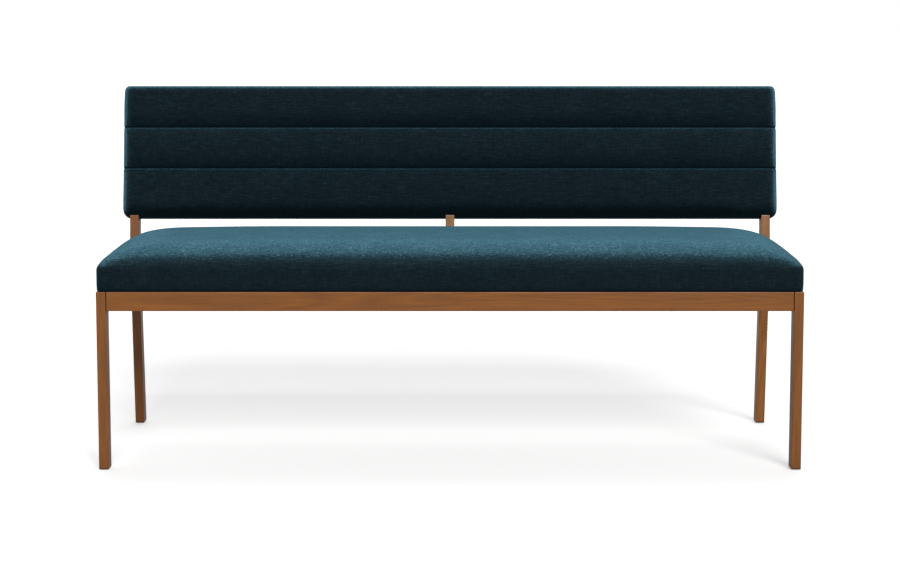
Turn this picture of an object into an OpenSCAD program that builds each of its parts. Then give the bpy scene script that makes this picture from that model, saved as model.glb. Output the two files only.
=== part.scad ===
// Upholstered banquette bench: a mortised wooden frame with raked back posts,
// an upholstered seat pad laid on the frame and a back pad with sewn channels.
// Millimetres. X runs along the bench, Y from front to back, Z up from the floor.

/* [Overall] */
// Width over the outer faces of the legs
frame_w = 1524; // [1300:1:1800]
// Height of the top of the seat frame above the floor
frame_h = 390; // [350:1:440]
// Depth from the front of the front legs to the front of the back posts
seat_d = 506; // [440:1:560]

/* [Legs and posts] */
// Width of every leg and post, seen from the front
leg_w = 21; // [20:0.5:26]
// Depth of every leg and post, from front to back
leg_d = 40; // [37:0.5:46]
// Angle at which the rear legs run back towards the floor
leg_splay = 6.6; // [4:0.1:9]
// Angle at which the back posts lean back
back_rake = 7; // [5:0.1:10]
// Height of the bend of the rear legs above the seat frame
bend_up = 14; // [13:0.5:22]
// Radius of the bend on the front face of the rear legs
bend_r = 80; // [60:1:95]

/* [Seat frame] */
// Height of the four rails
rail_h = 42; // [36:1:55]
// Thickness of the four rails
rail_t = 21; // [19:0.5:26]
// Thickness of the rail tenons
tenon_t = 9; // [7:0.5:9]
// Length of the tenons in the front legs and of the rear rail's tenons
tenon_l = 15; // [10:0.5:15]
// Length of the side rail tenons in the raked rear legs
rear_tenon_l = 10; // [7:0.5:10]
// Shoulder above and below each rail tenon
shoulder = 5; // [3:0.5:8]
// Height of the bearers that cross the frame under the seat
bearer_h = 30; // [27:1:34]
// Thickness of the bearers
bearer_t = 21; // [19:0.5:30]
// Length of the bearer tenons
bearer_tenon_l = 8; // [5:0.5:9]
// Leg of the triangular corner blocks
block_side = 60; // [57:1:66]
// Height of the corner blocks
block_h = 28; // [27:1:33]

/* [Fasteners and glides] */
// Shank diameter of the wood screws
screw_d = 4; // [3.5:0.1:4.5]
// Head diameter of the wood screws
screw_head_d = 8; // [7:0.1:9]
// Head height of the wood screws
screw_head_h = 2.6; // [2:0.1:3]
// Wood held under a screw head in a bearer or a block
screw_grip = 12; // [8:0.5:14]
// Length of screw in the rail behind a corner block
screw_bite = 11; // [8:0.5:13]
// Diameter of the leg glides
glide_d = 16; // [12:0.5:18]
// Thickness of the leg glides
glide_t = 1.2; // [1:0.1:4]
// Diameter of the glide pins
glide_pin_d = 3; // [2.5:0.1:4]
// Length of the glide pins
glide_pin_l = 14; // [10:0.5:20]

/* [Seat pad] */
// Thickness of the plywood seat board
seat_board_t = 12; // [11:0.5:18]
// Thickness of the upholstery fabric
cover_t = 1.5; // [1.2:0.1:2]
// Height of the upright wall of the seat pad
wall_h = 54; // [46:1:66]
// Rise of the crown above the wall of the seat pad
crown_h = 43; // [30:1:55]
// Distance over which the crown rolls off towards each end
roll_end = 150; // [100:1:200]
// Distance over which the crown rolls off towards the front
roll_front = 95; // [60:1:130]
// Distance over which the crown rolls off towards the back
roll_rear = 60; // [40:1:90]
// Radius of the corners at the wall of the seat pad
seat_corner_r = 14; // [11:0.5:24]
// Radius of the corners at the top of the crown
crown_corner_r = 85; // [60:1:110]
// Width of the fabric hem turned under the seat board
hem_w = 34; // [28:1:36]

/* [Back pad] */
// Height of the back pad along the posts
back_h = 314.5; // [290:0.5:360]
// Distance along the posts from their bend to the lower edge of the back pad
back_lift = 99; // [92:0.5:130]
// Overhang of the back pad past each outer post
back_over = 15; // [12:0.5:20]
// Foam and fabric in front of the post faces
back_proud = 8; // [7.5:0.1:12]
// Height of each of the two upper channels
channel_h = 97; // [88:0.5:105]
// Depth of the sewn seams between the channels
seam_depth = 6; // [3:0.1:6.5]
// Depth of the seams where they wrap round the ends
seam_end_depth = 1.2; // [0.6:0.1:1.6]
// Width over which a channel curves in to its seam
seam_w = 30; // [20:1:36]
// Radius of the lower front edge of the back pad
low_edge_r = 21; // [17:0.5:24]
// Radius of the upper front edge of the back pad
top_edge_r = 14; // [12.5:0.5:18]
// Radius of the upright edges at the ends of the back pad
end_edge_r = 10; // [8:0.5:11]
// Thickness of the plywood back board
back_board_t = 10; // [9:0.5:11]
// Thickness of the post tongue inside the back pad
tongue_t = 18; // [17:0.5:19]
// Thickness of the board that closes the back
outer_board_t = 3; // [3:0.1:5]

/* [Hidden] */

// Clearances and overruns
glue_gap = 0.2;
soft_gap = 0.3;
over = 1;

// Colours as the photograph shows them
wood = [0.53, 0.34, 0.18];
pale_wood = [0.80, 0.68, 0.50];
fabric = [0.14, 0.29, 0.34];
foam = [0.90, 0.86, 0.70];
zinc = [0.75, 0.76, 0.78];
black = [0.10, 0.10, 0.11];

// Steps along the round stretches
bend_steps = 5;
corner_steps = 5;
crown_steps = 8;
low_edge_steps = 5;
top_edge_steps = 4;
small_edge_steps = 2;
bore_fn = 32;

// Back pad: its hem and its rear face, measured from the front face of the posts
hem_y = leg_d + soft_gap + cover_t;
outer_gap = soft_gap;
rear_face = hem_y + outer_gap + outer_board_t + soft_gap + cover_t;

// Main places of the frame
half_w = frame_w / 2;
inner_x = half_w - leg_w;
bend_h = frame_h + bend_up;
back_reach = (back_lift + back_h) * sin(back_rake) + rear_face * cos(back_rake);
front_y = -(seat_d + back_reach) / 2;
bend_y = front_y + seat_d;
leg_mid_x = half_w - leg_w / 2;
rail_z = frame_h - rail_h;
rear_rail_y = leg_front_y(rail_z);
rear_rail_back_y = rear_rail_y + rail_t;

// The front face of a rear leg below its bend, at a height above the floor
function leg_front_y(z) = bend_y + (bend_h - z) * tan(leg_splay);
function leg_back_y(z) = leg_front_y(z) + leg_d / cos(leg_splay);

// A place measured from the bend, behind and along the leaning front face of the posts
function post_point(y, z) = [
    bend_y + y * cos(back_rake) + z * sin(back_rake),
    bend_h - y * sin(back_rake) + z * cos(back_rake)];

// The centre of the bend, and its sweep between the faces of leg and post
bend_half = (leg_splay + back_rake) / 2;
bend_lean = (leg_splay - back_rake) / 2;
bend_centre = [bend_y, bend_h] + bend_r / cos(bend_half) * [cos(bend_lean), sin(bend_lean)];
function bend_point(r, i) =
    let (a = 180 + leg_splay - (leg_splay + back_rake) * i / bend_steps)
    bend_centre + r * [cos(a), sin(a)];

// Back pad: its outline and inner layers
back_x = half_w + back_over;
back_top = back_lift + back_h;
tongue_y = leg_d - tongue_t;
board_back_y = tongue_y - glue_gap;
board_front_y = board_back_y - back_board_t;
edge_set = 4;
notch_up = 9;
board_low = back_lift + notch_up;
board_top = back_top - edge_set;
board_x = back_x - edge_set;
batten_h = 30;
back_hem_w = 22;
back_hem_r = 4;
tongue_top = board_top - batten_h - glue_gap;
upper_seam = back_top - channel_h;
lower_seam = upper_seam - channel_h;

// Seat pad: its outline and layers
pad_z = frame_h + soft_gap;
pad_end_set = 2;
pad_front_set = 1;
pad_rear_set = 3;
pad_x = half_w - pad_end_set;
pad_front = front_y + pad_front_set;
pad_rear = bend_y - pad_rear_set;
pad_low_inset = 4;
bulge_share = 0.5;
crown_power = 1.86;
dome_rise = 2;
dome_shares = [0.5, 0.6];
seat_board_z = pad_z + cover_t + soft_gap;
seat_foam_z = seat_board_z + seat_board_t + soft_gap;
dust_t = 1.2;

// Screw places
bearer_x = half_w / 2;
bearer_screw_shares = [0.22, 0.78];
bearer_span = rear_rail_y - front_y - rail_t;
block_screw_in = 37;
block_seat_along = 26;
block_seat_in = 24;
block_nose = 2;
block_screw_spread = 6;
block_drop = 1;
seat_bite = 9;
post_screw_shares = [0.28, 0.72];
post_screw_bite = 12;
board_bite = 8;
board_screw_shares = [0.12, 0.5, 0.88];
head_sink = 3.2;
block_reach = 9;

// A box from its low corner to its high corner
module span(low, high) {
    translate(low) cube(high - low);
}

// Turns an outline drawn from front to back and up into a plate along X
module plate(x, t) {
    translate([x, 0, 0]) rotate([90, 0, 90]) linear_extrude(t) children();
}

// Places things drawn on the leaning front face of the posts
module on_posts() {
    translate([0, bend_y, bend_h]) rotate([-back_rake, 0, 0]) children();
}

// Makes the right-hand piece from the left-hand one
module other_side() {
    mirror([1, 0, 0]) children();
}

// A screw that points along Z with the underside of its head at zero
module screw(length) {
    cylinder(d = screw_d, h = length, $fn = bore_fn);
    translate([0, 0, -screw_head_h]) cylinder(d = screw_head_d, h = screw_head_h, $fn = bore_fn);
}

// The hole for such a screw, with a head recess of the given depth
module screw_hole(length, recess) {
    translate([0, 0, -over / 2])
        cylinder(d = screw_d + 2 * glue_gap, h = length + over / 2 + glue_gap, $fn = bore_fn);
    translate([0, 0, -recess])
        cylinder(d = screw_head_d + 2 * glue_gap, h = recess, $fn = bore_fn);
}

// Tenons of the front rail, as one bar through the rail, grown by a clearance for the mortises
module front_tenons(grow = 0) {
    span([-inner_x - tenon_l - grow, front_y + (rail_t - tenon_t) / 2 - grow,
            rail_z + shoulder - grow],
        [inner_x + tenon_l + grow, front_y + (rail_t + tenon_t) / 2 + grow,
            frame_h - shoulder + grow]);
}

// Tenons of the rear rail, flush with its back so that they pass behind the side rail tenons
module rear_tenons(grow = 0) {
    span([-inner_x - tenon_l - grow, rear_rail_back_y - tenon_t - grow,
            rail_z + shoulder - grow],
        [inner_x + tenon_l + grow, rear_rail_back_y + grow,
            frame_h - shoulder + grow]);
}

// Tenons of the left side rail, the rear one cut to the slope of the leg
module side_tenons(grow = 0) {
    low = rail_z + shoulder - grow;
    high = frame_h - shoulder + grow;
    start = front_y + leg_d - tenon_l - grow;
    reach = rear_tenon_l + grow;
    plate(-leg_mid_x - tenon_t / 2 - grow, tenon_t + 2 * grow)
        polygon([[start, low], [leg_front_y(low) + reach, low],
            [leg_front_y(high) + reach, high], [start, high]]);
}

// Tenons of one bearer, in the middle of its height
module bearer_tenons(x, grow = 0) {
    mid = frame_h - bearer_h / 2;
    tall = bearer_h / 2 + 2 * grow;
    thick = tenon_t + 2 * grow;
    span([x - thick / 2, front_y + rail_t - bearer_tenon_l - grow, mid - tall / 2],
        [x + thick / 2, rear_rail_y + bearer_tenon_l + grow, mid + tall / 2]);
}

module all_bearer_mortises() {
    for (x = [-bearer_x, 0, bearer_x]) bearer_tenons(x, glue_gap);
}

// Middle of the foot of the front and the rear leg, from front to back
front_foot_y = front_y + leg_d / 2;
rear_foot_y = (leg_front_y(0) + leg_back_y(0)) / 2;

module glide(y, grow = 0) {
    translate([-leg_mid_x, y, 0]) {
        cylinder(d = glide_d, h = glide_t, $fn = bore_fn);
        cylinder(d = glide_pin_d + 2 * grow, h = glide_t + glide_pin_l + grow, $fn = bore_fn);
    }
}

module front_leg_left() {
    color(wood) difference() {
        span([-half_w, front_y, glide_t], [-inner_x, front_y + leg_d, frame_h]);
        front_tenons(glue_gap);
        side_tenons(glue_gap);
        glide(front_foot_y, glue_gap);
    }
}

// Outline of a back post above its bend: shoulder, rebate for the board, and tongue
post_head = [
    post_point(0, board_low - glue_gap),
    post_point(tongue_y, board_low - glue_gap),
    post_point(tongue_y, tongue_top),
    post_point(leg_d, tongue_top)];

module rear_leg_outline() {
    polygon(concat(
        [[leg_front_y(glide_t), glide_t]],
        [for (i = [0:bend_steps]) bend_point(bend_r, i)],
        post_head,
        [for (i = [bend_steps:-1:0]) bend_point(bend_r - leg_d, i)],
        [[leg_back_y(glide_t), glide_t]]));
}

module rear_leg_left() {
    color(wood) difference() {
        plate(-half_w, leg_w) rear_leg_outline();
        rear_tenons(glue_gap);
        side_tenons(glue_gap);
        glide(rear_foot_y, glue_gap);
        board_screw_set(-leg_mid_x) screw_hole(tongue_t + over, head_sink + over);
    }
}

module leg_glides() {
    color(black) for (y = [front_foot_y, rear_foot_y]) {
        glide(y);
        other_side() glide(y);
    }
}

module front_rail() {
    color(wood) difference() {
        union() {
            span([-inner_x + glue_gap, front_y, rail_z], [inner_x - glue_gap, front_y + rail_t, frame_h]);
            front_tenons();
        }
        all_bearer_mortises();
        corner_holes("front");
        other_side() corner_holes("front");
    }
}

module rear_rail() {
    color(wood) difference() {
        union() {
            span([-inner_x + glue_gap, rear_rail_y, rail_z],
                [inner_x - glue_gap, rear_rail_back_y, frame_h]);
            rear_tenons();
        }
        all_bearer_mortises();
        corner_holes("rear");
        other_side() corner_holes("rear");
        centre_post_screw_set() screw_hole(post_screw_length, over);
    }
}

module side_rail_left() {
    start = front_y + leg_d + glue_gap;
    color(wood) difference() {
        union() {
            plate(-half_w, rail_t)
                polygon([[start, rail_z], [leg_front_y(rail_z) - glue_gap, rail_z],
                    [leg_front_y(frame_h) - glue_gap, frame_h], [start, frame_h]]);
            side_tenons();
        }
        corner_holes("front");
        corner_holes("rear");
    }
}

module bearer(x) {
    color(pale_wood) difference() {
        union() {
            span([x - bearer_t / 2, front_y + rail_t + glue_gap, frame_h - bearer_h],
                [x + bearer_t / 2, rear_rail_y - glue_gap, frame_h]);
            bearer_tenons(x);
        }
        seat_screw_set() screw_hole(seat_screw_length, bearer_h);
    }
}

// Stands at an inner corner of the frame, with X along the rail and Y into the frame
module at_corner(place) {
    y = place == "front" ? front_y + rail_t : rear_rail_y;
    turn = place == "front" ? 0 : 1;
    translate([-half_w + max(rail_t, leg_w), y, frame_h - block_drop - block_h])
        mirror([0, turn, 0]) children();
}

module block_screw_set() {
    mid = block_h / 2;
    translate([block_screw_in, block_reach, mid + block_screw_spread]) rotate([90, 0, 0]) children();
    translate([block_reach, block_screw_in, mid - block_screw_spread]) rotate([0, -90, 0]) children();
}

module corner_holes(place) {
    at_corner(place) block_screw_set() screw_hole(block_reach + screw_bite, block_side);
}

module corner_block(place) {
    color(pale_wood) difference() {
        at_corner(place) linear_extrude(block_h)
            polygon([[0, 0], [block_side, 0], [block_side, block_nose],
                [block_nose, block_side], [0, block_side]]);
        corner_holes(place);
        seat_screw_set() screw_hole(seat_screw_length, bearer_h);
    }
}

module corner_block_screws() {
    color(zinc) for (place = ["front", "rear"]) {
        at_corner(place) block_screw_set() screw(block_reach + screw_bite);
        other_side() at_corner(place) block_screw_set() screw(block_reach + screw_bite);
    }
}

// Screws that rise through the bearers and the corner blocks into the seat board
seat_screw_length = screw_grip + seat_board_z - frame_h + seat_bite;
module seat_screw_set() {
    z = frame_h - screw_grip;
    for (x = [-bearer_x, 0, bearer_x], share = bearer_screw_shares)
        translate([x, front_y + rail_t + share * bearer_span, z]) children();
    block_x = half_w - max(rail_t, leg_w) - block_seat_along;
    for (x = [-block_x, block_x], y = [front_y + rail_t + block_seat_in, rear_rail_y - block_seat_in])
        translate([x, y, z]) children();
}

module seat_fixing_screws() {
    color(zinc) seat_screw_set() screw(seat_screw_length);
}

// The centre post stands on the rear rail and laps down behind it
lap_back_y = bend_y + leg_d * cos(back_rake);
post_screw_length = lap_back_y - rear_rail_back_y + post_screw_bite;
module centre_post_screw_set() {
    for (share = post_screw_shares)
        translate([0, lap_back_y, rail_z + share * rail_h]) rotate([90, 0, 0]) children();
}

module back_post_centre() {
    lap_y = rear_rail_back_y + glue_gap;
    color(wood) difference() {
        plate(-leg_w / 2, leg_w) polygon(concat(
            [[lap_y, rail_z], [lap_y, frame_h], [bend_y, frame_h], [bend_y, bend_h]],
            post_head,
            [[lap_back_y, bend_h - leg_d * sin(back_rake)], [lap_back_y, rail_z]]));
        centre_post_screw_set() screw_hole(post_screw_length, over);
        board_screw_set(0) screw_hole(tongue_t + over, head_sink + over);
    }
}

module centre_post_screws() {
    color(zinc) centre_post_screw_set() screw(post_screw_length);
}

// Screws that hold the back board, driven through one post tongue from behind
module board_screw_set(x) {
    tall = tongue_top - board_low;
    on_posts() for (share = board_screw_shares)
        translate([x, leg_d - head_sink, board_low + share * tall])
            rotate([90, 0, 0]) children();
}
board_screw_length = tongue_t - head_sink + glue_gap + board_bite;

module back_board_screws() {
    color(zinc) for (x = [-leg_mid_x, 0, leg_mid_x])
        board_screw_set(x) screw(board_screw_length);
}

// One level ring of the seat pad: half length, front, back, corner radius and height
function ring(x, y0, y1, r, z) = [
    for (c = [0:3], i = [0:corner_steps])
        let (a = 90 * c + 90 * i / corner_steps)
        let (cx = c == 0 || c == 3 ? x - r : r - x)
        let (cy = c < 2 ? y1 - r : y0 + r)
        [cx + r * cos(a), cy + r * sin(a), z]];
ring_count = 4 * (corner_steps + 1);

// A ring of the pad drawn in from its outline, and rolled in towards the crown by a share
function pad_ring(inset, roll, z) =
    ring(pad_x - inset - roll_end * roll,
        pad_front + inset + roll_front * roll,
        pad_rear - inset - roll_rear * roll,
        max(seat_corner_r - inset, seat_corner_r / 3) + (crown_corner_r - seat_corner_r) * roll,
        z);

// The wall of the pad is drawn in at its foot and upright above
function wall_inset(z) =
    pad_low_inset * (1 - sin(90 * min(1, max(0, z - pad_z) / (wall_h * bulge_share))));

wall_shares = [0, 0.14, 0.3, 0.5, 0.75, 1];
function pad_rings(skin, low) = concat(
    [for (s = wall_shares)
        let (z = low + s * (pad_z + wall_h - skin - low))
        pad_ring(skin + wall_inset(z), 0, z)],
    [for (i = [1:crown_steps])
        let (q = 1 - cos(90 * i / crown_steps))
        let (rise = crown_h * pow(1 - pow(1 - q, crown_power), 1 / crown_power))
        pad_ring(skin, q, pad_z + wall_h - skin + rise)],
    [let (z = pad_z + wall_h - skin + crown_h + dome_rise * dome_shares[1])
        [for (p = pad_ring(skin, 1, z))
            let (mid = (pad_front + pad_rear) / 2)
            [p[0] * dome_shares[0], mid + (p[1] - mid) * dome_shares[0], z]]]);
function pad_peak(skin) =
    [0, (pad_front + pad_rear) / 2, pad_z + wall_h - skin + crown_h + dome_rise];

// Triangles between ring a and ring b above it, facing outwards, and the fan up to a peak
function strip(a, b, n) = [
    for (i = [0:n - 1])
        let (j = (i + 1) % n)
        each [[a + i, b + i, b + j], [a + i, b + j, a + j]]];
function fan(a, peak, n) = [for (i = [0:n - 1]) [a + i, peak, a + (i + 1) % n]];
function flipped(faces) = [for (f = faces) [f[2], f[1], f[0]]];
function flat(rings) = [for (r = rings) each r];

module seat_foam() {
    skin = cover_t + soft_gap;
    rings = pad_rings(skin, seat_foam_z);
    count = len(rings);
    points = concat(flat(rings), [pad_peak(skin)],
        [[0, (pad_front + pad_rear) / 2, seat_foam_z]]);
    color(foam) polyhedron(points, concat(
        [for (k = [0:count - 2]) each strip(k * ring_count, (k + 1) * ring_count, ring_count)],
        fan((count - 1) * ring_count, count * ring_count, ring_count),
        flipped(fan(0, count * ring_count + 1, ring_count))));
}

// A fabric shell: its outer skin, its inner skin, and the hem turned in under the board
module seat_cover() {
    hem = pad_low_inset + hem_w;
    outer = concat([pad_ring(hem, 0, pad_z), pad_ring(pad_low_inset + cover_t / 2, 0, pad_z)],
        pad_rings(0, pad_z + cover_t / 2));
    inner = concat([pad_ring(hem, 0, pad_z + cover_t)], pad_rings(cover_t, pad_z + cover_t));
    outer_count = len(outer);
    inner_count = len(inner);
    inner_start = outer_count * ring_count + 1;
    points = concat(flat(outer), [pad_peak(0)], flat(inner), [pad_peak(cover_t)]);
    color(fabric) difference() {
        polyhedron(points, concat(
            [for (k = [0:outer_count - 2])
                each strip(k * ring_count, (k + 1) * ring_count, ring_count)],
            fan((outer_count - 1) * ring_count, outer_count * ring_count, ring_count),
            flipped([for (k = [0:inner_count - 2])
                each strip(inner_start + k * ring_count, inner_start + (k + 1) * ring_count, ring_count)]),
            flipped(fan(inner_start + (inner_count - 1) * ring_count,
                inner_start + inner_count * ring_count, ring_count)),
            flipped(strip(0, inner_start, ring_count))));
        seat_screw_set() screw_hole(seat_screw_length, over);
    }
}

module seat_board() {
    set = pad_low_inset + cover_t + soft_gap;
    color(pale_wood) difference() {
        translate([0, 0, seat_board_z]) linear_extrude(seat_board_t)
            rounded_plate(pad_x - set, pad_front + set, pad_rear - set, seat_corner_r - set / 2);
        seat_screw_set() screw_hole(seat_screw_length, over);
    }
}

module seat_dust_cover() {
    set = pad_low_inset + hem_w + soft_gap;
    color(black) difference() {
        span([-pad_x + set, pad_front + set, pad_z], [pad_x - set, pad_rear - set, pad_z + dust_t]);
        seat_screw_set() screw_hole(seat_screw_length, over);
    }
}

// A plate outline with round corners: half length, low edge, high edge and corner radius
module rounded_plate(x, y0, y1, r) {
    translate([-x + r, y0]) square([2 * (x - r), y1 - y0]);
    translate([-x, y0 + r]) square([2 * x, y1 - y0 - 2 * r]);
    for (cx = [-x + r, x - r], cy = [y0 + r, y1 - r])
        translate([cx, cy]) circle(r, $fn = bore_fn);
}

// Points along a round edge of the back pad, with no seam depth
function edge_arc(y, z, r, from, steps) = [
    for (i = [0:steps])
        let (a = from + 90 * i / steps)
        [y + r * cos(a), z + r * sin(a), 0]];

// Down the front of the back pad: heights around each seam, with the share of the seam's depth
seam_shares = [1, 0.62, 0.34, 0.14, 0.04, 0];
seam_power = 2.4;
function seam_side(z, dir) = [
    for (s = seam_shares) [z + dir * s * seam_w, pow(1 - s, seam_power)]];
function seam_pass(z) = concat(seam_side(z, 1),
    [for (i = [len(seam_shares) - 2:-1:0]) seam_side(z, -1)[i]]);
front_levels = concat(seam_pass(upper_seam), seam_pass(lower_seam));

// Outline of the back pad at an inset: round front edges, seams down the front, back at y1
function back_loop(inset, y1, rear_r) =
    let (y0 = -back_proud + inset)
    let (z0 = back_lift + inset)
    let (z1 = back_top - inset)
    let (low_r = low_edge_r - inset)
    let (top_r = top_edge_r - inset)
    concat(
        edge_arc(y0 + low_r, z0 + low_r, low_r, 180, low_edge_steps),
        edge_arc(y1 - rear_r, z0 + rear_r, rear_r, 270, small_edge_steps),
        edge_arc(y1 - rear_r, z1 - rear_r, rear_r, 0, small_edge_steps),
        edge_arc(y0 + top_r, z1 - top_r, top_r, 90, top_edge_steps),
        [for (p = front_levels) [y0, p[0], p[1]]]);

// The back pad as a body: sections along the bench, rounded off at both ends
end_turns = [0, 22, 45, 68, 90];
function back_section(skin, y1, rear_r, turn, side) =
    let (r = end_edge_r - skin)
    let (x = back_x - skin - r * (1 - cos(turn)))
    [for (p = back_loop(skin + r * (1 - sin(turn)), y1 - rear_r / 2 * (1 - sin(turn)), rear_r))
        [side * (x - seam_end_depth * p[2] * cos(turn)),
            p[0] + seam_depth * p[2] * sin(turn), p[1]]];

module back_body(skin, y1, rear_r) {
    sections = concat(
        [for (t = end_turns) back_section(skin, y1, rear_r, t, -1)],
        [for (i = [len(end_turns) - 1:-1:0]) back_section(skin, y1, rear_r, end_turns[i], 1)]);
    n = len(sections[0]);
    last = len(sections) - 1;
    mid = [(y1 - back_proud) / 2, (back_lift + back_top) / 2];
    points = concat(flat(sections), [[-back_x + skin, mid[0], mid[1]], [back_x - skin, mid[0], mid[1]]]);
    polyhedron(points, concat(
        [for (k = [0:last - 1]) each strip(k * n, (k + 1) * n, n)],
        flipped(fan(0, len(points) - 2, n)),
        fan(last * n, len(points) - 1, n)));
}

// Room for the three posts where they enter the back pad from below
module post_slots(grow) {
    for (x = [-leg_mid_x, 0, leg_mid_x])
        span([x - leg_w / 2 - grow, -grow, back_lift - back_proud],
            [x + leg_w / 2 + grow, leg_d + grow, board_low]);
}

module back_foam() {
    skin = cover_t + soft_gap;
    color(foam) on_posts() difference() {
        back_body(skin, hem_y - skin, back_hem_r - skin);
        span([-back_x, board_front_y - soft_gap, back_lift], [back_x, hem_y, back_top]);
        post_slots(soft_gap);
    }
}

module back_cover() {
    color(fabric) on_posts() difference() {
        back_body(0, hem_y, back_hem_r);
        back_body(cover_t, hem_y - cover_t, back_hem_r - cover_t);
        post_slots(soft_gap);
        span([-back_x + back_hem_w, leg_d, back_lift + back_hem_w],
            [back_x - back_hem_w, hem_y + over, back_top - back_hem_w]);
    }
}

module back_board() {
    color(pale_wood) difference() {
        on_posts() span([-board_x, board_front_y, board_low], [board_x, board_back_y, board_top]);
        for (x = [-leg_mid_x, 0, leg_mid_x])
            board_screw_set(x) screw_hole(board_screw_length, over);
    }
}

module back_top_batten() {
    color(pale_wood) on_posts()
        span([-board_x, tongue_y, board_top - batten_h], [board_x, leg_d, board_top]);
}

module back_bottom_batten_left() {
    low = back_lift + edge_set;
    color(pale_wood) on_posts()
        span([-inner_x + glue_gap, tongue_y, low], [-leg_w / 2 - glue_gap, leg_d, low + batten_h]);
}

module back_end_batten_left() {
    color(pale_wood) on_posts()
        span([-board_x, tongue_y, back_lift + edge_set],
            [-half_w - glue_gap, leg_d, board_top - batten_h - glue_gap]);
}

// The closing board of the back, and the fabric that wraps its face and edges
outer_set = 5;
module back_outer_board() {
    low_y = hem_y + outer_gap;
    color(pale_wood) on_posts() back_sheet(low_y, low_y + outer_board_t, outer_set, outer_set);
}

module back_outer_cover() {
    low_y = hem_y + outer_gap;
    set = outer_set - soft_gap - cover_t;
    color(fabric) on_posts() difference() {
        back_sheet(low_y, rear_face, set, outer_set);
        back_sheet(low_y - over, rear_face - cover_t, outer_set - soft_gap, outer_set);
    }
}

// A flat sheet with round corners across the back, between two depths
module back_sheet(y0, y1, set, r) {
    translate([0, y1, 0]) rotate([90, 0, 0]) linear_extrude(y1 - y0)
        rounded_plate(back_x - set, back_lift + set, back_top - set, r);
}

front_leg_left();
other_side() front_leg_left();  // front_leg_right
rear_leg_left();
other_side() rear_leg_left();  // rear_leg_right
leg_glides();
front_rail();
rear_rail();
side_rail_left();
other_side() side_rail_left();  // side_rail_right
bearer(-bearer_x);  // bearer_left
bearer(0);  // bearer_centre
bearer(bearer_x);  // bearer_right
corner_block("front");  // corner_block_front_left
other_side() corner_block("front");  // corner_block_front_right
corner_block("rear");  // corner_block_rear_left
other_side() corner_block("rear");  // corner_block_rear_right
corner_block_screws();
seat_fixing_screws();
back_post_centre();
centre_post_screws();
seat_board();
seat_foam();
seat_cover();
seat_dust_cover();
back_board();
back_top_batten();
back_bottom_batten_left();
other_side() back_bottom_batten_left();  // back_bottom_batten_right
back_end_batten_left();
other_side() back_end_batten_left();  // back_end_batten_right
back_board_screws();
back_foam();
back_cover();
back_outer_board();
back_outer_cover();
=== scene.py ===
import math

import bmesh
import bpy
import numpy as np
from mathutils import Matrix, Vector


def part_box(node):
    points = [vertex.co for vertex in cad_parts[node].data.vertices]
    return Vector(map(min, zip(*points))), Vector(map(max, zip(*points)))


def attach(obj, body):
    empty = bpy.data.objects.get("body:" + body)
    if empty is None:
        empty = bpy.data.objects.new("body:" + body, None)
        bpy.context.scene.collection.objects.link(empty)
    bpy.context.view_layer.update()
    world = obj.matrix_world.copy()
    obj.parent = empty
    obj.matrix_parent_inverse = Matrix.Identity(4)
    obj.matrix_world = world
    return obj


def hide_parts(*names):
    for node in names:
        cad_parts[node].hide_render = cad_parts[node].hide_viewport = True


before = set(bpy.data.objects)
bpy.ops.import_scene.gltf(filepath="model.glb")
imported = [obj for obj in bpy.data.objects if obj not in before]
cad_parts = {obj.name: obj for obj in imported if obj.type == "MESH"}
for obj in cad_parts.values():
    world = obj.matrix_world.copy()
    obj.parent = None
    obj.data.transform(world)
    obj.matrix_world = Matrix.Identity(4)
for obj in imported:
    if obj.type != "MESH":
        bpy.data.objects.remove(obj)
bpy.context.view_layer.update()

# The wooden frame, in metres as everything here. RAKE is the lean of the back posts.
FRAME_W = 1.524
FRAME_H = 0.390
SEAT_D = 0.506
LEG_D = 0.040
RAKE = math.radians(7)
BEND_UP = 0.014
FRONT_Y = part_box("front_leg_left")[0].y
JOINT_X = abs(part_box("front_leg_left")[1].x)
BEND_Y = FRONT_Y + SEAT_D
BEND_Z = FRAME_H + BEND_UP

# The seat cushion: its wall stands on the frame, and its crown rolls off to all four sides
PAD_X = 0.7633
PAD_FRONT = FRONT_Y + 0.001
PAD_REAR = BEND_Y - 0.003
PAD_Z = FRAME_H + 0.0001
WALL_H = 0.0455
CROWN_H = 0.0505
ROLL_END = 0.160
ROLL_FRONT = 0.095
ROLL_REAR = 0.095
SEAT_CORNER_R = 0.018
CROWN_CORNER_R = 0.120
LOW_INSET = 0.001
HEM_W = 0.034
SEAT_SWELL = 0.003

# Powers that round the shoulders of the crown, and that join two shoulders at a corner
END_POWER = 2.25
FRONT_POWER = 2.0
REAR_POWER = 1.48
FRONT_CORNER = 2.2
REAR_CORNER = 4.4

# The crown's dome, of which the cloth adds a part, its rise along the middle, and the dip of its ends
CROWN_BLEND = 0.06
DOME_RISE = 0.009
SWELL_SHARE = 0.7
MIDDLE_RISE = 0.0026
MIDDLE_END = 0.70
MIDDLE_FADE = 0.32
END_DROOP = 0.0032
DROOP_TIP = 0.022
DROOP_START = 0.05
DROOP_FADE = 0.27

# How far the rear wall of the seat comes back over the rail, and where it stays clear of posts and legs
REAR_BULGE = 0.016
BULGE_DEPTH = 0.07
POST_CLEAR = 0.0135
LEG_CLEAR = 0.7375
BULGE_EASE = 0.012

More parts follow.
